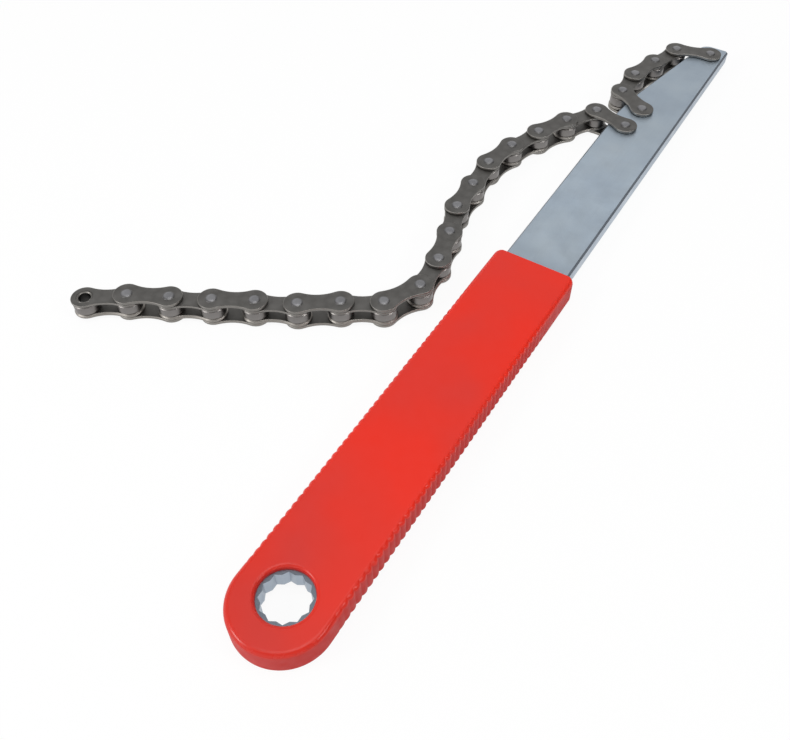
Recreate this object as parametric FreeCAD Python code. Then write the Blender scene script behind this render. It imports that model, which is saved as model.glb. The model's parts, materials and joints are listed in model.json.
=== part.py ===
import FreeCAD, Part
import math
import os

# A chain whip: a flat steel bar with a moulded grip, and two lengths of bush roller chain
# riveted to its far end. The long chain hangs free from one rivet and wraps a sprocket. The
# short chain is riveted at both of its ends and seats in the sprocket's teeth.
#
# Millimetres and degrees. X runs along the bar, from the wrench hole to the riveted end.
# Y points to the side that the chains are on, and Z points up. The origin is on the wrench
# hole's axis, in the plane of the grip's underside, which the tool rests on.

# The bar
BAR_REACH = 273.4            # from the wrench hole's axis to the riveted end
BAR_WIDTH = 21.1
BAR_THICKNESS = 5.0
BAR_EDGE_BREAK = 0.6         # small flat along the edges of both faces
END_CORNER_RADIUS = 1.2      # in plan, at the riveted end's corner on the plain side
RIVET_CORNER_RADIUS = 4.5    # in plan, at its other corner, beside the short chain's first rivet
SHOULDER_RADIUS = 100.0      # in plan, where the cut-back edge runs into the full width

# The wrench hole: two hexagons, one turned by half a corner
HOLE_ACROSS_FLATS = 11.2
HOLE_POINTS = 12

# The grip
GRIP_REACH = 126.7           # from the wrench hole's axis to the grip's head end
GRIP_WALL = 2.55             # beside the bar, and round its hidden end
GRIP_COVER = 1.5             # over and under the bar
END_ROUND_SETBACK = 1.6      # the round end's centre lies this far behind the wrench hole
GRIP_EDGE_BREAK = 0.9        # chamfer along the edges of both faces
GRIP_CORNER_RADIUS = 2.4     # in plan, at the head end
LIP_RADIUS = 1.0             # round the mouth of the grip's own hole
LIP_CLEARANCE = 0.55         # between the wrench hole's points and the grip's hole

# The ribs along both sides of the grip
RIB_COUNT = 44
RIB_PITCH = 2.44
RIB_DEPTH = 0.42
RIB_START = 2.0              # first rib, ahead of the wrench hole's axis
RIB_CREST_LAND = 0.02        # what the crests lose to the plain side, which leaves them a land

# The roller chain
PITCH = 12.7
INNER_WIDTH = 3.3            # between the inner plates
PLATE_THICKNESS = 0.95
PLATE_END_RADIUS = 4.1
PLATE_WAIST_WIDTH = 5.8
ROLLER_DIAMETER = 7.75
ROLLER_CHAMFER = 0.35
BUSH_DIAMETER = 5.0
PIN_DIAMETER = 3.6
PIN_STANDS_PROUD = 0.3
PIN_HEAD_CHAMFER = 0.25
PIN_CLEARANCE = 0.05         # radial, in the bushes and in the bar
ROLLER_CLEARANCE = 0.08      # radial, on the bushes
ROLLER_SIDE_PLAY = 0.1       # each side, between the inner plates
PLATE_SIDE_PLAY = 0.1        # each side, between the inner and the outer plates

# The rivets. The long chain's is placed from the bar's end and from its chain side, and the
# short chain's first one from the bar's end and from its plain side.
LONG_RIVET_FROM_END = 67.1
LONG_RIVET_FROM_SIDE = 6.05
SHORT_RIVET_FROM_END = 7.0
SHORT_RIVET_FROM_SIDE = 5.25
OPEN_PIVOT_CLEARANCE = 0.2   # radial, in the bar's hole for the short chain's last pin

# The edge beside the short chain is cut back by these gaps, outside its plates
GAP_AT_FIRST_PIN = 0.95
GAP_AT_LAST_PIN = 0.25

# How the chains lie: the heading of each link, counted from the link that is on the bar
LONG_HEADINGS = (
    75.5, 147.5, 155, 159.5, 169.5, 184.5, 185, 199, 194.5,
    185, 154.5, 121.5, 125, 116.5, 119, 117.5, 117, 123.5,
)
SHORT_HEADINGS = (105.7, 161.1, 166.0, 181.4, 235.4)

# Sizes that follow
grip_width = BAR_WIDTH + 2 * GRIP_WALL
grip_thickness = BAR_THICKNESS + 2 * GRIP_COVER
mid_height = grip_thickness / 2
hole_corner_radius = HOLE_ACROSS_FLATS / math.sqrt(3)
bush_length = INNER_WIDTH + 2 * PLATE_THICKNESS
bush_bore = PIN_DIAMETER + 2 * PIN_CLEARANCE
roller_bore = BUSH_DIAMETER + 2 * ROLLER_CLEARANCE
roller_length = INNER_WIDTH - 2 * ROLLER_SIDE_PLAY
outer_gap = bush_length + 2 * PLATE_SIDE_PLAY
pin_length = outer_gap + 2 * PLATE_THICKNESS + 2 * PIN_STANDS_PROUD
UP = FreeCAD.Vector(0, 0, 1)


def at(x, y, z=0.0):
    return FreeCAD.Vector(x, y, z)


def heading_vector(degrees):
    return at(math.cos(math.radians(degrees)), math.sin(math.radians(degrees)))


def walk(start, headings):
    """The pins of a chain that starts at a pin and has a link along each heading."""
    pins = [start]
    for heading in headings:
        pins.append(pins[-1] + heading_vector(heading) * PITCH)
    return pins


long_rivet = at(BAR_REACH - LONG_RIVET_FROM_END, BAR_WIDTH / 2 - LONG_RIVET_FROM_SIDE)
short_rivet = at(BAR_REACH - SHORT_RIVET_FROM_END, SHORT_RIVET_FROM_SIDE - BAR_WIDTH / 2)
long_pins = walk(long_rivet, LONG_HEADINGS)
short_pins = walk(short_rivet, SHORT_HEADINGS)


def rounded_outline(corners):
    """A closed wire through corners, each given as a point and the radius that rounds it."""
    count = len(corners)
    bends = []
    for i, (corner, radius) in enumerate(corners):
        before = (corners[i - 1][0] - corner).normalize()
        after = (corners[(i + 1) % count][0] - corner).normalize()
        half_angle = before.getAngle(after) / 2
        setback = radius / math.tan(half_angle)
        middle = (before + after).normalize() * (radius / math.sin(half_angle) - radius)
        bends.append((corner + before * setback, corner + middle, corner + after * setback))
    edges = []
    for i, (start, middle, end) in enumerate(bends):
        edges.append(Part.Arc(start, middle, end).toShape())
        next_start = bends[(i + 1) % count][0]
        if end.distanceToPoint(next_start) > 1e-6:
            edges.append(Part.makeLine(end, next_start))
    return Part.Wire(edges)


def prism(wire, bottom, height):
    """The solid that a flat wire in the XY plane sweeps from one height upwards."""
    solid = Part.Face(wire).extrude(UP * height)
    solid.translate(UP * bottom)
    return solid


def upright_cylinder(centre, radius, length):
    """A cylinder round a vertical axis, centred on the middle of the bar's thickness."""
    return Part.makeCylinder(radius, length, centre + UP * (mid_height - length / 2), UP)


def turned(profile, centre):
    """A turned piece: radius and height pairs, the heights counted from mid-thickness."""
    points = [at(radius, 0, height) for radius, height in profile]
    face = Part.Face(Part.makePolygon(points + points[:1]))
    piece = face.revolve(at(0, 0), UP, 360)
    piece.translate(centre + UP * mid_height)
    return piece


def outline_edges(solid, low, high):
    """The edges that lie wholly in the planes of a solid's two flat faces."""
    found = []
    for edge in solid.Edges:
        box = edge.BoundBox
        if box.ZLength < 1e-6 and (abs(box.ZMin - low) < 1e-6 or abs(box.ZMin - high) < 1e-6):
            found.append(edge)
    return found


def cut_back_edge():
    """A point on the cut-back edge beside the short chain, and the edge's direction.

    The edge is the line that touches a circle round the short chain's first free pin and one
    round its last free pin, each a plate end and its gap in radius.
    """
    first = short_pins[1]
    last = short_pins[-2]
    first_radius = PLATE_END_RADIUS + GAP_AT_FIRST_PIN
    last_radius = PLATE_END_RADIUS + GAP_AT_LAST_PIN
    between = last - first
    lean = math.asin((first_radius - last_radius) / between.Length)
    along = math.atan2(between.y, between.x) - lean
    direction = at(math.cos(along), math.sin(along))
    towards_bar = at(-direction.y, direction.x)
    return first + towards_bar * first_radius, direction


def bar_blank():
    """The bar with no holes: a round end inside the grip, and a cut-back edge by the chains."""
    side = BAR_WIDTH / 2
    heel = -END_ROUND_SETBACK - side
    touch, direction = cut_back_edge()
    slope = direction.y / direction.x
    end_y = touch.y + slope * (BAR_REACH - touch.x)
    shoulder_x = touch.x + (side - touch.y) / slope
    outline = rounded_outline([
        (at(heel, -side), side),
        (at(BAR_REACH, -side), END_CORNER_RADIUS),
        (at(BAR_REACH, end_y), RIVET_CORNER_RADIUS),
        (at(shoulder_x, side), SHOULDER_RADIUS),
        (at(heel, side), side),
    ])
    bottom = mid_height - BAR_THICKNESS / 2
    blank = prism(outline, bottom, BAR_THICKNESS)
    edges = outline_edges(blank, bottom, bottom + BAR_THICKNESS)
    return blank.makeChamfer(BAR_EDGE_BREAK, edges)


def wrench_hole():
    """The many-pointed hole: its points and its inner corners alternate round a circle."""
    step = math.pi / HOLE_POINTS
    inner_radius = HOLE_ACROSS_FLATS / 2 / math.cos(step)
    corners = []
    for i in range(2 * HOLE_POINTS):
        radius = inner_radius if i % 2 else hole_corner_radius
        corners.append(at(radius * math.cos(i * step), radius * math.sin(i * step)))
    outline = Part.makePolygon(corners + corners[:1])
    return prism(outline, 0, grip_thickness)


def make_bar():
    """The steel bar, with its wrench hole and the holes for its three rivets."""
    running = PIN_DIAMETER / 2 + PIN_CLEARANCE
    open_pivot = PIN_DIAMETER / 2 + OPEN_PIVOT_CLEARANCE
    bar = bar_blank().cut(wrench_hole())
    for centre, radius in ((long_pins[0], running), (short_pins[0], running), (short_pins[-1], open_pivot)):
        bar = bar.cut(upright_cylinder(centre, radius, grip_thickness))
    return bar


def rib_comb(side):
    """What is cut from one side of the grip to leave its ribs."""
    face = side * grip_width / 2
    root = face - side * RIB_DEPTH
    crest = face + side * RIB_CREST_LAND
    outside = face + side * GRIP_WALL
    edges = []
    for i in range(RIB_COUNT):
        start = RIB_START + i * RIB_PITCH
        edges.append(Part.Arc(
            at(start, root),
            at(start + RIB_PITCH / 2, crest),
            at(start + RIB_PITCH, root),
        ).toShape())
    finish = RIB_START + RIB_COUNT * RIB_PITCH
    edges.append(Part.makeLine(at(finish, root), at(finish, outside)))
    edges.append(Part.makeLine(at(finish, outside), at(RIB_START, outside)))
    edges.append(Part.makeLine(at(RIB_START, outside), at(RIB_START, root)))
    return prism(Part.Wire(edges), 0, grip_thickness)


def make_grip():
    """The moulded grip, round the bar, with ribbed sides and a hole over the wrench hole."""
    side = grip_width / 2
    heel = -END_ROUND_SETBACK - side
    outline = rounded_outline([
        (at(heel, -side), side),
        (at(GRIP_REACH, -side), GRIP_CORNER_RADIUS),
        (at(GRIP_REACH, side), GRIP_CORNER_RADIUS),
        (at(heel, side), side),
    ])
    grip = prism(outline, 0, grip_thickness)
    grip = grip.makeChamfer(GRIP_EDGE_BREAK, outline_edges(grip, 0, grip_thickness))
    grip = grip.cut([rib_comb(1), rib_comb(-1)])
    bore = hole_corner_radius + LIP_CLEARANCE
    grip = grip.cut(upright_cylinder(at(0, 0), bore, grip_thickness))
    lips = []
    for edge in outline_edges(grip, 0, grip_thickness):
        if edge.BoundBox.DiagonalLength < 4 * bore and edge.Closed:
            lips.append(edge)
    grip = grip.makeFillet(LIP_RADIUS, lips)
    return grip.cut(bar_blank())


def plate_outline():
    """A chain plate lying along X from the origin: two round ends and a hollow waist."""
    reach = PITCH / 2
    waist = PLATE_WAIST_WIDTH / 2
    end = PLATE_END_RADIUS
    hollow = (reach ** 2 + waist ** 2 - end ** 2) / (2 * (end - waist))
    lift = (waist + hollow) / (end + hollow) * end
    inset = reach / (end + hollow) * end
    far = PITCH - inset
    return Part.Wire([
        Part.Arc(at(inset, lift), at(-end, 0), at(inset, -lift)).toShape(),
        Part.Arc(at(inset, -lift), at(reach, -waist), at(far, -lift)).toShape(),
        Part.Arc(at(far, -lift), at(PITCH + end, 0), at(far, lift)).toShape(),
        Part.Arc(at(far, lift), at(reach, waist), at(inset, lift)).toShape(),
    ])


def plate_pair(start, heading, gap, hole_radius):
    """The two like plates of a link, a gap apart, with a hole at each end."""
    pair = []
    for bottom in (mid_height + gap / 2, mid_height - gap / 2 - PLATE_THICKNESS):
        plate = prism(plate_outline(), bottom, PLATE_THICKNESS)
        for x in (0, PITCH):
            plate = plate.cut(Part.makeCylinder(hole_radius, PLATE_THICKNESS, at(x, 0, bottom), UP))
        plate.rotate(at(0, 0), UP, heading)
        plate.translate(start)
        pair.append(plate)
    return pair


def make_pin(centre):
    """A pin with both of its ends broken by a chamfer."""
    radius = PIN_DIAMETER / 2
    half = pin_length / 2
    return turned([
        (0, -half),
        (radius - PIN_HEAD_CHAMFER, -half),
        (radius, PIN_HEAD_CHAMFER - half),
        (radius, half - PIN_HEAD_CHAMFER),
        (radius - PIN_HEAD_CHAMFER, half),
        (0, half),
    ], centre)


def make_bush(centre):
    """A plain bush, flush with the outsides of the inner plates."""
    return turned([
        (bush_bore / 2, -bush_length / 2),
        (BUSH_DIAMETER / 2, -bush_length / 2),
        (BUSH_DIAMETER / 2, bush_length / 2),
        (bush_bore / 2, bush_length / 2),
    ], centre)


def make_roller(centre):
    """A roller, free to turn on its bush."""
    outside = ROLLER_DIAMETER / 2
    half = roller_length / 2
    return turned([
        (roller_bore / 2, -half),
        (outside - ROLLER_CHAMFER, -half),
        (outside, ROLLER_CHAMFER - half),
        (outside, half - ROLLER_CHAMFER),
        (outside - ROLLER_CHAMFER, half),
        (roller_bore / 2, half),
    ], centre)


def chain_nodes(name, pins, headings):
    """The pieces of a chain whose first link, on the bar, is an outer one."""
    nodes = {}
    for i, heading in enumerate(headings):
        label = f"{name}_link_{i + 1:02d}"
        ends = pins[i:i + 2]
        if i % 2 == 0:
            nodes[label + "_outer_plates"] = plate_pair(ends[0], heading, outer_gap, PIN_DIAMETER / 2)
            nodes[label + "_pins"] = [make_pin(centre) for centre in ends]
            continue
        plates = plate_pair(ends[0], heading, INNER_WIDTH, BUSH_DIAMETER / 2)
        nodes[label + "_inner_plates"] = plates + [make_bush(centre) for centre in ends]
        for mark, centre in zip("ab", ends):
            nodes[f"{name}_roller_{i + 1:02d}{mark}"] = [make_roller(centre)]
    return nodes


def make_nodes():
    nodes = {"bar": [make_bar()], "grip": [make_grip()]}
    nodes.update(chain_nodes("long", long_pins, LONG_HEADINGS))
    nodes.update(chain_nodes("short", short_pins, SHORT_HEADINGS))
    return nodes


os.makedirs("parts", exist_ok=True)
for node, solids in make_nodes().items():
    shape = solids[0] if len(solids) == 1 else Part.makeCompound(solids)
    shape.exportStep(f"parts/{node}.step")
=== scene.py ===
import json
import math

import bmesh
import bpy
from mathutils import Matrix, Vector


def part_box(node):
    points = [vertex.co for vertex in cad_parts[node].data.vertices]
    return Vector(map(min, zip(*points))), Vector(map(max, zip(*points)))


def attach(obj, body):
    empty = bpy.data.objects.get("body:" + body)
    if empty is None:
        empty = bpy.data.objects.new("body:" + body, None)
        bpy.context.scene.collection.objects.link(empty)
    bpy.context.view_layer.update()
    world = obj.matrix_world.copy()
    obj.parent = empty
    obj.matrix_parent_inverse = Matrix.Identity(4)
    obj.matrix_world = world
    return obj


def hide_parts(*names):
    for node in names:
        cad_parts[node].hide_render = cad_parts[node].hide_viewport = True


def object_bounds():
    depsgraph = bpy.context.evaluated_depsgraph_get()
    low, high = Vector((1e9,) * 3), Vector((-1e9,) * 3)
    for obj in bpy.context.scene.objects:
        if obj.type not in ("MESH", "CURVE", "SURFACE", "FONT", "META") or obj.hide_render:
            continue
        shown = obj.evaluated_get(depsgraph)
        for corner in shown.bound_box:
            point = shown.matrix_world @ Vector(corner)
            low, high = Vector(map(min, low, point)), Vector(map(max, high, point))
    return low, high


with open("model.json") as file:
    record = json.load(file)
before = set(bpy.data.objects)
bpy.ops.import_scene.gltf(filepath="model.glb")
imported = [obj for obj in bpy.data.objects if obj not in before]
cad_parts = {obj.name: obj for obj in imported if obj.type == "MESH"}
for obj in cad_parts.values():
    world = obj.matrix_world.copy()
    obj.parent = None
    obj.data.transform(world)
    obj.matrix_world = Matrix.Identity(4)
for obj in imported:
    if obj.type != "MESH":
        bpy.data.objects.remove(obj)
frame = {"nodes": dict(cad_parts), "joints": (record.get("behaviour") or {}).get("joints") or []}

cad_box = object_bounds()

# The looks of a chain whip, in metres, in the frame of the solids. X runs along the bar from the
# wrench hole, Y points to the side that the chains are on, and Z points up from the floor.
MM = 0.001

# The chain, at the sizes of the solids, with finer edges than theirs
PLATE_END_RADIUS = 4.1 * MM
PLATE_WAIST_WIDTH = 5.8 * MM
PLATE_THICKNESS = 0.95 * MM
PIN_RADIUS = 1.8 * MM
PIN_HEAD_CHAMFER = 0.26 * MM
PIN_HEAD_DOME = 0.07 * MM
BUSH_RADIUS = 2.5 * MM
BUSH_BORE_RADIUS = 1.85 * MM
BUSH_EDGE_BREAK = 0.12 * MM
BUSH_MOUTH = 0.28 * MM
ROLLER_BORE_RADIUS = 2.58 * MM
ROLLER_CHAMFER = 0.3 * MM

# The edges of the chain's plates: how far in from the rim, and how far down from the face.
# The stamped edges are a little round. The inner plates have a wide bevel towards the sprocket.
STAMPED_EDGE = ((0.17 * MM, 0.0), (0.06 * MM, 0.05 * MM), (0.0, 0.17 * MM))
BEVELLED_EDGE = ((0.55 * MM, 0.0), (0.46 * MM, 0.03 * MM), (0.07 * MM, 0.36 * MM), (0.0, 0.46 * MM))

# The grip, at the sizes of the solids, with its edges rounded. The first and the last few ribs are
# shallow. The head end's edge goes in by only a share of what the other edges do.
RIB_COUNT = 44
RIB_PITCH = 2.44 * MM
RIB_DEPTH = 0.42 * MM
RIB_START = 2.0 * MM
RIB_END_STEP = 0.2 * MM
RIBS_THAT_GROW = 4
RIBS_THAT_FADE = 6
GRIP_EDGE_ROUND = 1.5 * MM
GRIP_FOOT_ROUND = 0.8 * MM
HEAD_EDGE_SHARE = 0.35
GRIP_CORNER_RADIUS = 2.4 * MM
GRIP_BORE_RADIUS = 7.016 * MM
LIP_RADIUS = 1.0 * MM

# How finely round things are divided
TURNED_STEPS = 48
END_STEPS = 26
WAIST_STEPS = 8
RIB_STEPS = 10
GRIP_EDGE_STEPS = 10
LIP_STEPS = 8

# How far a cutter reaches past what it cuts, from what angle an edge is sharp, and how upright a
# face's normal is where the face counts as level
CUT_MARGIN = 1.0 * MM
SHARP_ANGLE = math.radians(40)
LEVEL = 0.99995

# The steel has painted shade round the hole, in the recess under the grip's lip, by its distance from the
# origin under the hole's middle
HOLE_SHADE_FULL_UP_TO = 9.7 * MM
HOLE_SHADE_GONE_FROM = 10.2 * MM

# The chain's edges are painted lighter below the first of these heights from a piece's middle, and darker
# above the second: a painted highlight low down, painted shade high up
EDGE_HIGHLIGHT_BELOW = -1.2 * MM
EDGE_SHADE_ABOVE = 1.2 * MM

# The camera: how it stands over the floor, and how the tool lies before it. In the camera's plan
# X is the picture's right, Y points away, and the camera is above the plan's origin.
PICTURE_WIDTH = 790
FOCAL_LENGTH_PIXELS = 875.8
SENSOR_WIDTH = 36.0
CAMERA_HEIGHT = 192.46 * MM
CAMERA_TILT = math.radians(50.66)
CAMERA_ROLL = math.radians(-0.81)
TOOL_HEADING = math.radians(57.19)
HOLE_IN_PLAN = Vector((-25.48 * MM, 86.12 * MM, 0.0))
CAMERA_SEES_FROM = 1 * MM
CAMERA_SEES_TO = 20.0

# The floor, and how much of its own light and shade is in what the camera sees of it
FLOOR_SIZE = 12.0
FLOOR_BELOW = 0.02 * MM
FLOOR_TONE = (0.66, 0.66, 0.66, 1.0)
SHADOW_SHARE = 0.08

# The room grows dim from the first to the second of these shares of a direction, down to the third
DIM_OVERHEAD = (0.22, 0.55, 0.46)
DIM_ON_THE_RIGHT = (0.45, 0.85, 0.3)
LAMPS_AIM_AT_Y = 20 * MM


def polar(radius, angle):
    return Vector((radius * math.cos(angle), radius * math.sin(angle), 0.0))


def arc(centre, radius, start, end, steps):
    """Points on an arc, both of its ends among them. Angles are in radians."""
    return [centre + polar(radius, start + (end - start) * i / steps) for i in range(steps + 1)]


def raised(points, height):
    return [Vector((point.x, point.y, height)) for point in points]


def is_level(face):
    return abs(face.normal.z) > LEVEL


def finished_mesh(bm, name):
    """A mesh with smooth faces, and sharp edges at its turns and round its level faces."""
    bmesh.ops.recalc_face_normals(bm, faces=bm.faces)
    bm.normal_update()
    for face in bm.faces:
        face.smooth = True
    for edge in bm.edges:
        if len(edge.link_faces) != 2:
            continue
        first, second = edge.link_faces
        turns = first.normal.angle(second.normal, 0.0) > SHARP_ANGLE
        edge.smooth = not turns and is_level(first) == is_level(second)
    mesh = bpy.data.meshes.new(name)
    bm.to_mesh(mesh)
    bm.free()
    return mesh


def turned(profile):
    """A turned form in bmesh form, from a closed profile of radius and height pairs."""
    bm = bmesh.new()
    rings = []
    for radius, height in profile:
        if radius == 0:
            rings.append([bm.verts.new((0.0, 0.0, height))] * TURNED_STEPS)
            continue
        ring = []
        for i in range(TURNED_STEPS):
            place = polar(radius, 2 * math.pi * i / TURNED_STEPS)
            ring.append(bm.verts.new((place.x, place.y, height)))
        rings.append(ring)
    for lower, upper in zip(rings, rings[1:] + rings[:1]):
        for i in range(TURNED_STEPS):
            after = (i + 1) % TURNED_STEPS
            corners = []
            for corner in (lower[i], lower[after], upper[after], upper[i]):
                if corner not in corners:
                    corners.append(corner)
            if len(corners) > 2:
                bm.faces.new(corners)
    return bm


def gathered(forms, name):
    """One mesh of several bmesh forms, each given with the matrix that puts it in its place."""
    whole = bmesh.new()
    for form, place in forms:
        part = bpy.data.meshes.new("part")
        form.to_mesh(part)
        part.transform(place)
        whole.from_mesh(part)
        bpy.data.meshes.remove(part)
    return finished_mesh(whole, name)


def wall(bm, rings):
    """Faces from each ring of points to the next. Gives the first and the last ring's vertices."""
    rows = [[bm.verts.new(point) for point in ring] for ring in rings]
    for lower, upper in zip(rows, rows[1:]):
        for i in range(len(lower)):
            bm.faces.new((lower[i - 1], lower[i], upper[i], upper[i - 1]))
    return rows[0], rows[-1]


def cap(bm, rings):
    """A flat face inside the first ring of vertices, with the other rings as its holes."""
    edges = []
    for ring in rings:
        for i in range(len(ring)):
            edges.append(bm.edges.get((ring[i - 1], ring[i])))
    bmesh.ops.triangle_fill(bm, use_beauty=True, edges=edges)


def plate_outline(pitch, inset):
    """A chain plate's outline: two round ends and a hollow waist, along X from the origin."""
    reach = pitch / 2
    waist = PLATE_WAIST_WIDTH / 2 - inset
    end = PLATE_END_RADIUS - inset
    hollow = (reach ** 2 + waist ** 2 - end ** 2) / (2 * (end - waist))
    turn = math.acos(reach / (end + hollow))
    near = Vector((0.0, 0.0, 0.0))
    far = Vector((pitch, 0.0, 0.0))
    over = Vector((reach, waist + hollow, 0.0))
    under = Vector((reach, -waist - hollow, 0.0))
    points = arc(near, end, turn, 2 * math.pi - turn, END_STEPS)
    points += arc(under, hollow, math.pi - turn, turn, WAIST_STEPS)[1:]
    points += arc(far, end, turn - math.pi, math.pi - turn, END_STEPS)[1:]
    points += arc(over, hollow, -turn, turn - math.pi, WAIST_STEPS)[1:-1]
    return points


def plate_form(pitch, hole_radius, inside_edge):
    """One chain plate in bmesh form, centred on Z 0, with the face towards the other plate up."""
    half = PLATE_THICKNESS / 2
    levels = [(inset, drop - half) for inset, drop in STAMPED_EDGE]
    levels += [(inset, half - drop) for inset, drop in reversed(inside_edge)]
    bm = bmesh.new()
    rims = [wall(bm, [raised(plate_outline(pitch, inset), height) for inset, height in levels])]
    for x in (0.0, pitch):
        circle = arc(Vector((x, 0.0, 0.0)), hole_radius, 0.0, 2 * math.pi, TURNED_STEPS)[:-1]
        rims.append(wall(bm, [raised(circle, -half), raised(circle, half)]))
    cap(bm, [bottom for bottom, top in rims])
    cap(bm, [top for bottom, top in rims])
    return bm


def plate_pair(plate, gap):
    """A plate and its mirror image with a gap between them, as forms with their places."""
    height = (gap + PLATE_THICKNESS) / 2
    lower = Matrix.Translation((0, 0, -height))
    upper = Matrix.Scale(-1, 4, (0, 0, 1)) @ lower
    return [(plate, lower), (plate, upper)]


def pin_form(length):
    half = length / 2
    flat = PIN_RADIUS - PIN_HEAD_CHAMFER
    head = [
        (PIN_RADIUS, half - PIN_HEAD_CHAMFER),
        (flat, half - PIN_HEAD_DOME),
        (flat / 2, half - PIN_HEAD_DOME / 4),
    ]
    foot = [(radius, -height) for radius, height in reversed(head)]
    return turned([(0, -half)] + foot + head + [(0, half)])


def ring_form(bore, outside, length, edge, mouth):
    """A turned ring whose outer edges and mouths are broken by chamfers of these widths."""
    half = length / 2
    return turned([
        (bore, mouth - half),
        (bore + mouth, -half),
        (outside - edge, -half),
        (outside, edge - half),
        (outside, half - edge),
        (outside - edge, half),
        (bore + mouth, half),
        (bore, half - mouth),
    ])


def mark_bore(form, radius):
    """Gives the second material of its piece to what lies within a radius of a form's axis."""
    for face in form.faces:
        centre = face.calc_center_median()
        if math.hypot(centre.x, centre.y) < radius:
            face.material_index = 1


def middle(node):
    low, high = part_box(node)
    return (low + high) / 2


def height_of(node):
    low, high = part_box(node)
    return high.z - low.z


def add_piece(mesh, node, body, material, place):
    """A new piece that stands for a node of the solids and rides on its body."""
    piece = bpy.data.objects.new("dressed_" + node, mesh)
    bpy.context.scene.collection.objects.link(piece)
    piece.matrix_world = place
    if not mesh.materials:
        mesh.materials.append(material)
    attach(piece, body)
    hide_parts(node)


class Shader:
    """A material with one main shader, and short ways to add nodes that feed it."""

    def __init__(self, name):
        self.material = bpy.data.materials.new(name)
        self.material.use_nodes = True
        self.tree = self.material.node_tree
        self.main = self.tree.nodes["Principled BSDF"]

    def add(self, kind, **settings):
        node = self.tree.nodes.new(kind)
        for key, value in settings.items():
            setattr(node, key, value)
        return node

    def join(self, out, into):
        self.tree.links.new(out, into)

    def place(self):
        return self.add("ShaderNodeTexCoord").outputs["Object"]

    def noise(self, scale, detail=3.0, roughness=0.5, stretch=(1, 1, 1)):
        """Noise over the piece's own space. Its scale counts cells to the metre."""
        mapping = self.add("ShaderNodeMapping")
        mapping.inputs["Scale"].default_value = stretch
        self.join(self.place(), mapping.inputs["Vector"])
        node = self.add("ShaderNodeTexNoise")
        node.inputs["Scale"].default_value = scale
        node.inputs["Detail"].default_value = detail
        node.inputs["Roughness"].default_value = roughness
        self.join(mapping.outputs["Vector"], node.inputs["Vector"])
        return node.outputs["Fac"]

    def ramp(self, value, stops):
        """A colour or a grey for each height of a value."""
        node = self.add("ShaderNodeValToRGB")
        elements = node.color_ramp.elements
        while len(elements) < len(stops):
            elements.new(0.5)
        for element, (position, colour) in zip(elements, stops):
            element.position = position
            element.color = (*colour, 1.0)
        self.join(value, node.inputs["Fac"])
        return node.outputs["Color"]

    def spread(self, value, low, high, from_low=0.3, from_high=0.7):
        node = self.add("ShaderNodeMapRange")
        node.inputs["From Min"].default_value = from_low
        node.inputs["From Max"].default_value = from_high
        node.inputs["To Min"].default_value = low
        node.inputs["To Max"].default_value = high
        self.join(value, node.inputs["Value"])
        return node.outputs["Result"]

    def blend(self, factor, first, second, kind="MIX"):
        node = self.add("ShaderNodeMix", data_type="RGBA", blend_type=kind)
        if isinstance(factor, float):
            node.inputs["Factor"].default_value = factor
        else:
            self.join(factor, node.inputs["Factor"])
        for value, into in ((first, node.inputs[6]), (second, node.inputs[7])):
            if isinstance(value, tuple):
                into.default_value = (*value, 1.0)
            else:
                self.join(value, into)
        return node.outputs[2]

    def bump(self, heights):
        """Bumps, each given by its height map, strength and depth in metres."""
        last = None
        for value, strength, depth in heights:
            node = self.add("ShaderNodeBump")
            node.inputs["Strength"].default_value = strength
            node.inputs["Distance"].default_value = depth
            self.join(value, node.inputs["Height"])
            if last is not None:
                self.join(last, node.inputs["Normal"])
            last = node.outputs["Normal"]
        self.join(last, self.main.inputs["Normal"])

    def product(self, first, second):
        node = self.add("ShaderNodeMath", operation="MULTIPLY")
        self.join(first, node.inputs[0])
        self.join(second, node.inputs[1])
        return node.outputs["Value"]

    def greys(self, value, stops):
        return self.ramp(value, [(position, (grey, grey, grey)) for position, grey in stops])

    def axis_of(self, vector, axis):
        parts = self.add("ShaderNodeSeparateXYZ")
        self.join(vector, parts.inputs["Vector"])
        return parts.outputs[axis]

    def along(self, stops):
        """Greys by the distance along X, in metres."""
        start, end = stops[0][0], stops[-1][0]
        share = self.spread(self.axis_of(self.place(), "X"), 0.0, 1.0, start, end)
        return self.greys(share, [((x - start) / (end - start), grey) for x, grey in stops])

    def steepness(self, stops):
        """Greys by how level the surface lies, from 0 on an upright side to 1 on a flat face."""
        normal = self.add("ShaderNodeTexCoord").outputs["Normal"]
        size = self.add("ShaderNodeMath", operation="ABSOLUTE")
        self.join(self.axis_of(normal, "Z"), size.inputs[0])
        return self.greys(size.outputs["Value"], stops)


def grip_material():
    """Moulded plastic: glossier on its rounded edges and rougher on its sides, with painted shade darkening
    its sides, and darker towards its round end.
    """
    shader = Shader("red_grip")
    main = shader.main
    reds = [
        (0.32, (0.72, 0.032, 0.021)),
        (0.5, (0.80, 0.026, 0.011)),
        (0.68, (0.86, 0.022, 0.006)),
    ]
    colour = shader.ramp(shader.noise(34.0, 2.0, 0.5), reds)
    # The red grows darker towards the round end.
    retoned = shader.blend(1.0, colour, shader.along([(-0.01, 0.86), (0.035, 1.0), (0.12, 1.0)]), "MULTIPLY")
    # Painted shade: the upright sides take a darker red than the top.
    shaded_sides = shader.blend(shader.steepness([(0.0, 1), (0.5, 0)]), retoned, (0.62, 0.028, 0.022))
    shader.join(shaded_sides, main.inputs["Base Color"])
    polish = shader.steepness([(0.0, 0.62), (0.25, 0.5), (0.45, 0.26), (0.9, 0.26), (1.0, 0.38)])
    handled = shader.spread(shader.noise(420.0, 4.0), 0.88, 1.14)
    shader.join(shader.product(polish, handled), main.inputs["Roughness"])
    main.inputs["Specular IOR Level"].default_value = 0.4
    shader.bump([(shader.noise(1900.0, 3.0), 0.10, 0.05 * MM), (shader.noise(130.0, 2.0), 0.22, 0.12 * MM)])
    return shader.material


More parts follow.
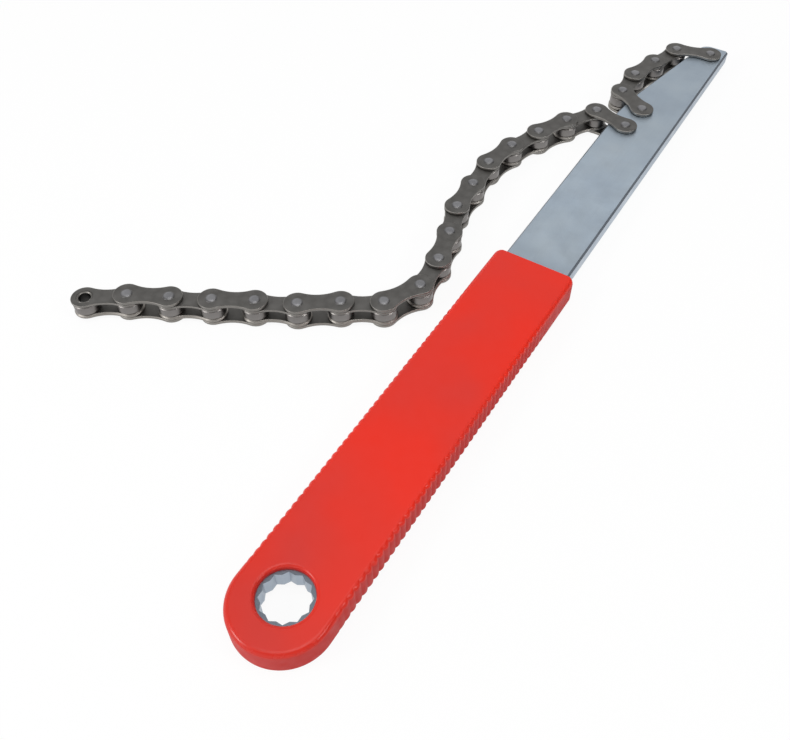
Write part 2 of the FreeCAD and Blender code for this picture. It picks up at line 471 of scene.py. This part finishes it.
def steel_material():
    """Zinc plating: cloudy on its flat faces and worn by scratches, with painted shade on its edges and
    sides and on the level steel round the hole.
    """
    shader = Shader("plated_steel")
    main = shader.main
    main.inputs["Metallic"].default_value = 1.0
    clouds = [
        (0.3, (0.56, 0.66, 0.77)),
        (0.5, (0.625, 0.73, 0.835)),
        (0.72, (0.68, 0.78, 0.87)),
    ]
    colour = shader.ramp(shader.noise(62.0, 4.0, 0.55), clouds)
    broad_tone = shader.along([(0.12, 0.875), (0.165, 1.0), (0.21, 0.88), (0.27, 0.84)])
    zinc = shader.blend(1.0, colour, broad_tone, "MULTIPLY")
    scratches = shader.noise(240.0, 5.0, 0.6, (0.12, 4.0, 4.0))
    retoned = shader.blend(shader.spread(scratches, 0.0, 0.2, 0.52, 0.75), zinc, (0.48, 0.55, 0.63))
    # Painted shade: the upright sides and the chamfers take a darker steel.
    edges = shader.steepness([(0.0, 0.45), (0.45, 0.45), (0.55, 0.8), (0.85, 0.8), (0.95, 0)])
    shaded_edges = shader.blend(edges, retoned, (0.20, 0.22, 0.26))
    # Painted shade on the level steel round the hole, where the grip's lip hangs over it.
    reach = shader.add("ShaderNodeVectorMath", operation="LENGTH")
    shader.join(shader.place(), reach.inputs[0])
    by_the_hole = shader.spread(reach.outputs["Value"], 0.85, 0.0, HOLE_SHADE_FULL_UP_TO, HOLE_SHADE_GONE_FROM)
    hole_shade = shader.product(by_the_hole, shader.steepness([(0.9, 0), (0.97, 1)]))
    shader.join(shader.blend(hole_shade, shaded_edges, (0.12, 0.135, 0.16)), main.inputs["Base Color"])
    shader.join(shader.spread(shader.noise(150.0, 5.0), 0.33, 0.47), main.inputs["Roughness"])
    shader.bump([(scratches, 0.05, 0.03 * MM), (shader.noise(900.0, 4.0), 0.12, 0.02 * MM)])
    return shader.material


def chain_material(name, dark, light, edge, low_edge, roughness):
    """Oiled chain steel: a mottled tone, and edges of another tone high up and low down, which is painted
    light: a painted highlight on the edges low down and painted shade on those high up; the plates' lighter
    edges are partly wear too.
    """
    shader = Shader(name)
    main = shader.main
    main.inputs["Metallic"].default_value = 1.0
    tone = shader.ramp(shader.noise(330.0, 3.0, 0.5), [(0.32, dark), (0.68, light)])
    # The edges' tone is painted light: a painted highlight on edges low in a piece, painted shade on those
    # high up.
    height = shader.spread(shader.axis_of(shader.place(), "Z"), 0.0, 1.0, EDGE_HIGHLIGHT_BELOW, EDGE_SHADE_ABOVE)
    edges = shader.steepness([(0.0, 0.4), (0.2, 0.55), (0.3, 1), (0.93, 1), (0.985, 0)])
    retoned = shader.blend(height, low_edge, edge)
    shader.join(shader.blend(edges, tone, retoned), main.inputs["Base Color"])
    low, high = roughness
    shader.join(shader.spread(shader.noise(700.0, 4.0), low, high), main.inputs["Roughness"])
    shader.bump([(shader.noise(2200.0, 3.0), 0.10, 0.02 * MM)])
    return shader.material


materials = {
    # The plates' lighter edges are partly wear and partly painted highlight.
    "plates": chain_material(
        "chain_plates",
        dark=(0.160, 0.155, 0.147),
        light=(0.205, 0.199, 0.190),
        edge=(0.25, 0.238, 0.222),
        low_edge=(0.33, 0.31, 0.285),
        roughness=(0.40, 0.5),
    ),
    # The pins' darker edges are painted shade on their head chamfers.
    "pins": chain_material(
        "chain_pins",
        dark=(0.30, 0.30, 0.315),
        light=(0.38, 0.38, 0.395),
        edge=(0.15, 0.147, 0.147),
        low_edge=(0.15, 0.147, 0.147),
        roughness=(0.36, 0.46),
    ),
    # The rollers' lighter chamfers are partly wear and partly painted highlight.
    "rollers": chain_material(
        "chain_rollers",
        dark=(0.150, 0.142, 0.138),
        light=(0.19, 0.18, 0.178),
        edge=(0.26, 0.245, 0.235),
        low_edge=(0.29, 0.275, 0.26),
        roughness=(0.34, 0.42),
    ),
    # The bores' near-black walls are painted shade inside the bushes.
    "bores": chain_material(
        "chain_bores_painted_dark",
        dark=(0.03, 0.03, 0.03),
        light=(0.045, 0.043, 0.042),
        edge=(0.05, 0.048, 0.046),
        low_edge=(0.05, 0.048, 0.046),
        roughness=(0.35, 0.45),
    ),
    "steel": steel_material(),
    "grip": grip_material(),
}


def hinge_place(chain, number):
    name = f"{chain}_hinge_{number:02d}"
    joint = next(joint for joint in frame["joints"] if joint["name"] == name)
    return Vector(joint["pos_m"])


def link_place(chain, number, node):
    """Where a link lies: its first pin's place, turned so that X points to its second pin."""
    first = hinge_place(chain, number)
    second = middle(node) * 2 - first
    along = second - first
    turn = Matrix.Rotation(math.atan2(along.y, along.x), 4, "Z")
    return Matrix.Translation(first) @ turn


def dress_chain(chain, count, meshes):
    for number in range(1, count + 1):
        body = f"{chain}_link_{number:02d}"
        if number % 2:
            node = body + "_outer_plates"
            place = link_place(chain, number, node)
            add_piece(meshes["outer"], node, body, materials["plates"], place)
            node = body + "_pins"
            add_piece(meshes["pins"], node, body, materials["pins"], place)
            continue
        node = body + "_inner_plates"
        place = link_place(chain, number, node)
        add_piece(meshes["inner"], node, body, materials["plates"], place)
        for mark in "ab":
            node = f"{chain}_roller_{number:02d}{mark}"
            place = Matrix.Translation(middle(node))
            add_piece(meshes["roller"], node, node, materials["rollers"], place)


def chain_meshes():
    """The meshes that the links share, at the sizes of the solids."""
    outer = "long_link_01_outer_plates"
    inner = "long_link_02_inner_plates"
    roller = "long_roller_02a"
    pitch = (hinge_place("long", 2) - hinge_place("long", 1)).length
    ends = [Matrix.Translation((x, 0, 0)) for x in (0.0, pitch)]
    bush_length = height_of(inner)
    outer_plate = plate_form(pitch, PIN_RADIUS, STAMPED_EDGE)
    inner_plate = plate_form(pitch, BUSH_RADIUS, BEVELLED_EDGE)
    outer_gap = height_of(outer) - 2 * PLATE_THICKNESS
    inner_gap = bush_length - 2 * PLATE_THICKNESS
    pin = pin_form(height_of("long_link_01_pins"))
    bush = ring_form(BUSH_BORE_RADIUS, BUSH_RADIUS, bush_length, BUSH_EDGE_BREAK, BUSH_MOUTH)
    mark_bore(bush, BUSH_BORE_RADIUS + BUSH_MOUTH / 4)
    bushes = [(bush, place) for place in ends]
    inner_link = gathered(plate_pair(inner_plate, inner_gap) + bushes, "inner_link")
    inner_link.materials.append(materials["plates"])
    inner_link.materials.append(materials["bores"])
    low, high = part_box(roller)
    roller_radius = (high.x - low.x) / 2
    ring = ring_form(ROLLER_BORE_RADIUS, roller_radius, high.z - low.z, ROLLER_CHAMFER, ROLLER_CHAMFER / 2)
    return {
        "outer": gathered(plate_pair(outer_plate, outer_gap), "outer_plates"),
        "pins": gathered([(pin, place) for place in ends], "pins"),
        "inner": inner_link,
        "roller": finished_mesh(ring, "roller"),
    }


def links_in(chain):
    return sum(1 for joint in frame["joints"] if joint["name"].startswith(chain + "_hinge_"))


def ribbed_side(face, depth):
    """Points along one ribbed side. The ribs near its two ends are shallow."""
    points = [Vector((RIB_START - RIB_END_STEP, face, 0.0))]
    for i in range(RIB_COUNT * RIB_STEPS + 1):
        along = i / RIB_STEPS
        fade = min(1.0, (along + 1) / RIBS_THAT_GROW, (RIB_COUNT - along) / RIBS_THAT_FADE)
        hollow = depth * fade * (2 * (along % 1.0) - 1) ** 2
        points.append(Vector((RIB_START + along * RIB_PITCH, face - hollow, 0.0)))
    return points


def grip_ring(low, high, inset):
    """The grip's outline at an inset: a round end, ribbed sides and a rounded, crisper head end."""
    side = (high.y - low.y) / 2
    face = side - inset
    bend = GRIP_CORNER_RADIUS - inset
    corner_x = high.x - inset * HEAD_EDGE_SHARE - bend
    corner_y = face - bend
    up = math.pi / 2
    ribs = ribbed_side(face, RIB_DEPTH * (1 - inset / GRIP_EDGE_ROUND))
    points = arc(Vector((low.x + side, 0.0, 0.0)), face, up, 3 * up, 3 * END_STEPS)
    points += [Vector((point.x, -point.y, 0.0)) for point in ribs]
    points += arc(Vector((corner_x, -corner_y, 0.0)), bend, -up, 0.0, END_STEPS)
    points += arc(Vector((corner_x, corner_y, 0.0)), bend, 0.0, up, END_STEPS)
    return points + ribs[::-1]


def quarter_round(radius):
    """Inset and drop pairs round an edge, from its level face to its upright side."""
    pairs = []
    for i in range(GRIP_EDGE_STEPS + 1):
        turn = math.pi / 2 * i / GRIP_EDGE_STEPS
        pairs.append((radius * (1 - math.sin(turn)), radius * (1 - math.cos(turn))))
    return pairs


def grip_form(low, high):
    """The grip with no pocket and no hole, in bmesh form: its edges are well rounded."""
    half = (high.z - low.z) / 2
    levels = [(inset, drop - half) for inset, drop in quarter_round(GRIP_FOOT_ROUND)]
    levels += [(inset, half - drop) for inset, drop in reversed(quarter_round(GRIP_EDGE_ROUND))]
    bm = bmesh.new()
    first, last = wall(bm, [raised(grip_ring(low, high, inset), height) for inset, height in levels])
    cap(bm, [first])
    cap(bm, [last])
    return bm


def scratch_object(bm, name):
    mesh = bpy.data.meshes.new(name)
    bmesh.ops.recalc_face_normals(bm, faces=bm.faces)
    bm.to_mesh(mesh)
    bm.free()
    scratch = bpy.data.objects.new(name, mesh)
    bpy.context.scene.collection.objects.link(scratch)
    return scratch


def cut(target, cutter):
    """Takes one scratch object from another and deletes it."""
    change = target.modifiers.new("cut", "BOOLEAN")
    change.operation = "DIFFERENCE"
    change.solver = "EXACT"
    change.object = cutter
    bpy.context.view_layer.update()
    evaluated = target.evaluated_get(bpy.context.evaluated_depsgraph_get())
    mesh = bpy.data.meshes.new_from_object(evaluated)
    target.modifiers.clear()
    target.data = mesh
    bpy.data.objects.remove(cutter)


def lip_profile(half):
    """What the grip's hole takes away: a bore that flares out over its two round lips."""
    bore = GRIP_BORE_RADIUS
    top = []
    for i in range(LIP_STEPS + 1):
        turn = math.pi / 2 * i / LIP_STEPS
        radius = bore + LIP_RADIUS * (1 - math.cos(turn))
        top.append((radius, half - LIP_RADIUS * (1 - math.sin(turn))))
    beyond = half + CUT_MARGIN
    wide = bore + LIP_RADIUS
    bottom = [(radius, -height) for radius, height in reversed(top)]
    return [(0, -beyond), (wide, -beyond)] + bottom + top + [(wide, beyond), (0, beyond)]


def dress_grip():
    low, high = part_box("grip")
    bar_low, bar_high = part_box("bar")
    thickness = high.z - low.z
    body = scratch_object(grip_form(low, high), "grip_body")
    bar_side = (bar_high.y - bar_low.y) / 2
    heel = Vector((bar_low.x + bar_side, 0.0, 0.0))
    mouth = high.x + CUT_MARGIN
    pocket = arc(heel, bar_side, math.pi / 2, 3 * math.pi / 2, 2 * END_STEPS)
    pocket += [Vector((mouth, -bar_side, 0.0)), Vector((mouth, bar_side, 0.0))]
    half = (bar_high.z - bar_low.z) / 2
    hollow = bmesh.new()
    for row in wall(hollow, [raised(pocket, -half), raised(pocket, half)]):
        cap(hollow, [row])
    cut(body, scratch_object(hollow, "pocket"))
    cut(body, scratch_object(turned(lip_profile(thickness / 2)), "hole"))
    bm = bmesh.new()
    bm.from_mesh(body.data)
    bpy.data.objects.remove(body)
    mesh = finished_mesh(bm, "grip")
    place = Matrix.Translation((0.0, 0.0, (low.z + high.z) / 2))
    add_piece(mesh, "grip", "tool", materials["grip"], place)


def dress_bar():
    """The bar keeps the solid's own mesh and gets the steel's material."""
    bar = frame["nodes"]["bar"]
    for place in bar.material_slots:
        place.link = "OBJECT"
        place.material = materials["steel"]


meshes = chain_meshes()
dress_chain("long", links_in("long"), meshes)
dress_chain("short", links_in("short"), meshes)
dress_grip()
dress_bar()


# The stage. The picture's right and the way that it looks are turned into the tool's frame.
to_tool = Matrix.Rotation(-TOOL_HEADING, 3, "Z")
picture_right = to_tool @ Vector((1, 0, 0))
picture_away = to_tool @ Vector((0, 1, 0))
aim = Vector(((cad_box[0].x + cad_box[1].x) / 2, LAMPS_AIM_AT_Y, 0.0))


def add_camera():
    data = bpy.data.cameras.new("camera")
    data.sensor_width = SENSOR_WIDTH
    data.lens = SENSOR_WIDTH * FOCAL_LENGTH_PIXELS / PICTURE_WIDTH
    data.clip_start = CAMERA_SEES_FROM
    data.clip_end = CAMERA_SEES_TO
    camera = bpy.data.objects.new("camera", data)
    bpy.context.scene.collection.objects.link(camera)
    forward = picture_away * math.cos(CAMERA_TILT) - Vector((0, 0, 1)) * math.sin(CAMERA_TILT)
    level_up = picture_right.cross(forward)
    right = picture_right * math.cos(CAMERA_ROLL) + level_up * math.sin(CAMERA_ROLL)
    up = level_up * math.cos(CAMERA_ROLL) - picture_right * math.sin(CAMERA_ROLL)
    turn = Matrix((right, up, -forward)).transposed().to_4x4()
    place = to_tool @ -HOLE_IN_PLAN
    place.z = CAMERA_HEIGHT
    camera.matrix_world = Matrix.Translation(place) @ turn
    bpy.context.scene.camera = camera


def add_lamp(name, side, elevation, distance, size, power):
    """A square soft light that faces the tool. Side 0 is behind the camera, 90 on its right."""
    data = bpy.data.lights.new(name, "AREA")
    data.shape = "SQUARE"
    data.size = size
    data.energy = power
    lamp = bpy.data.objects.new(name, data)
    bpy.context.scene.collection.objects.link(lamp)
    across = math.radians(side)
    up = math.radians(elevation)
    flat = picture_right * math.sin(across) - picture_away * math.cos(across)
    towards = flat * math.cos(up) + Vector((0, 0, math.sin(up)))
    turn = towards.to_track_quat("Z", "Y").to_matrix().to_4x4()
    lamp.matrix_world = Matrix.Translation(aim + towards * distance) @ turn


def seen_directly(tree):
    """One for rays that the camera sends, straight or by way of a mirror or through glass."""
    path = tree.nodes.new("ShaderNodeLightPath")
    total = path.outputs["Is Camera Ray"]
    for name in ("Is Glossy Ray", "Is Transmission Ray"):
        either = tree.nodes.new("ShaderNodeMath")
        either.operation = "MAXIMUM"
        tree.links.new(total, either.inputs[0])
        tree.links.new(path.outputs[name], either.inputs[1])
        total = either.outputs["Value"]
    return total


def add_floor():
    """A white floor that keeps the tool's shadow, and looks white where the camera sees it."""
    bm = bmesh.new()
    bmesh.ops.create_grid(bm, x_segments=1, y_segments=1, size=FLOOR_SIZE / 2)
    mesh = bpy.data.meshes.new("floor")
    bm.to_mesh(mesh)
    bm.free()
    floor = bpy.data.objects.new("floor", mesh)
    floor.location = (0.0, 0.0, -FLOOR_BELOW)
    bpy.context.scene.collection.objects.link(floor)
    material = bpy.data.materials.new("floor")
    material.use_nodes = True
    tree = material.node_tree
    tree.nodes.clear()
    paper = tree.nodes.new("ShaderNodeBsdfDiffuse")
    paper.inputs["Color"].default_value = FLOOR_TONE
    bright_paper = tree.nodes.new("ShaderNodeBsdfDiffuse")
    bright_paper.inputs["Color"].default_value = (1, 1, 1, 1)
    glow = tree.nodes.new("ShaderNodeEmission")
    seen = tree.nodes.new("ShaderNodeMixShader")
    seen.inputs["Fac"].default_value = SHADOW_SHARE
    tree.links.new(glow.outputs["Emission"], seen.inputs[1])
    tree.links.new(bright_paper.outputs["BSDF"], seen.inputs[2])
    whole = tree.nodes.new("ShaderNodeMixShader")
    tree.links.new(seen_directly(tree), whole.inputs["Fac"])
    tree.links.new(paper.outputs["BSDF"], whole.inputs[1])
    tree.links.new(seen.outputs["Shader"], whole.inputs[2])
    output = tree.nodes.new("ShaderNodeOutputMaterial")
    tree.links.new(whole.outputs["Shader"], output.inputs["Surface"])
    mesh.materials.append(material)


def add_world():
    """A pale room: white round the horizon, greyer overhead and darker on the picture's right.

    The camera itself sees it all white.
    """
    world = bpy.data.worlds.new("world")
    bpy.context.scene.world = world
    world.use_nodes = True
    tree = world.node_tree
    direction = tree.nodes.new("ShaderNodeTexCoord").outputs["Generated"]
    levels = []
    for axis, (start, end, tone) in (((0, 0, 1), DIM_OVERHEAD), (picture_right, DIM_ON_THE_RIGHT)):
        share = tree.nodes.new("ShaderNodeVectorMath")
        share.operation = "DOT_PRODUCT"
        share.inputs[1].default_value = axis
        tree.links.new(direction, share.inputs[0])
        level = tree.nodes.new("ShaderNodeMapRange")
        level.inputs["From Min"].default_value = start
        level.inputs["From Max"].default_value = end
        level.inputs["To Min"].default_value = 1.0
        level.inputs["To Max"].default_value = tone
        tree.links.new(share.outputs["Value"], level.inputs["Value"])
        levels.append(level.outputs["Result"])
    product = tree.nodes.new("ShaderNodeMath")
    product.operation = "MULTIPLY"
    tree.links.new(levels[0], product.inputs[0])
    tree.links.new(levels[1], product.inputs[1])
    path = tree.nodes.new("ShaderNodeLightPath")
    strength = tree.nodes.new("ShaderNodeMath")
    strength.operation = "MAXIMUM"
    tree.links.new(product.outputs["Value"], strength.inputs[0])
    tree.links.new(path.outputs["Is Camera Ray"], strength.inputs[1])
    background = tree.nodes["Background"]
    tree.links.new(strength.outputs["Value"], background.inputs["Strength"])
    background.inputs["Color"].default_value = (1, 1, 1, 1)


add_camera()
add_floor()
add_world()
add_lamp("top_light", 0, 85, 0.9, 0.5, 2.2)
add_lamp("left_light", -68, 32, 0.8, 0.2, 1.4)
add_lamp("right_light", 60, 40, 0.9, 0.2, 1.1)
bpy.context.scene.view_settings.view_transform = "Standard"
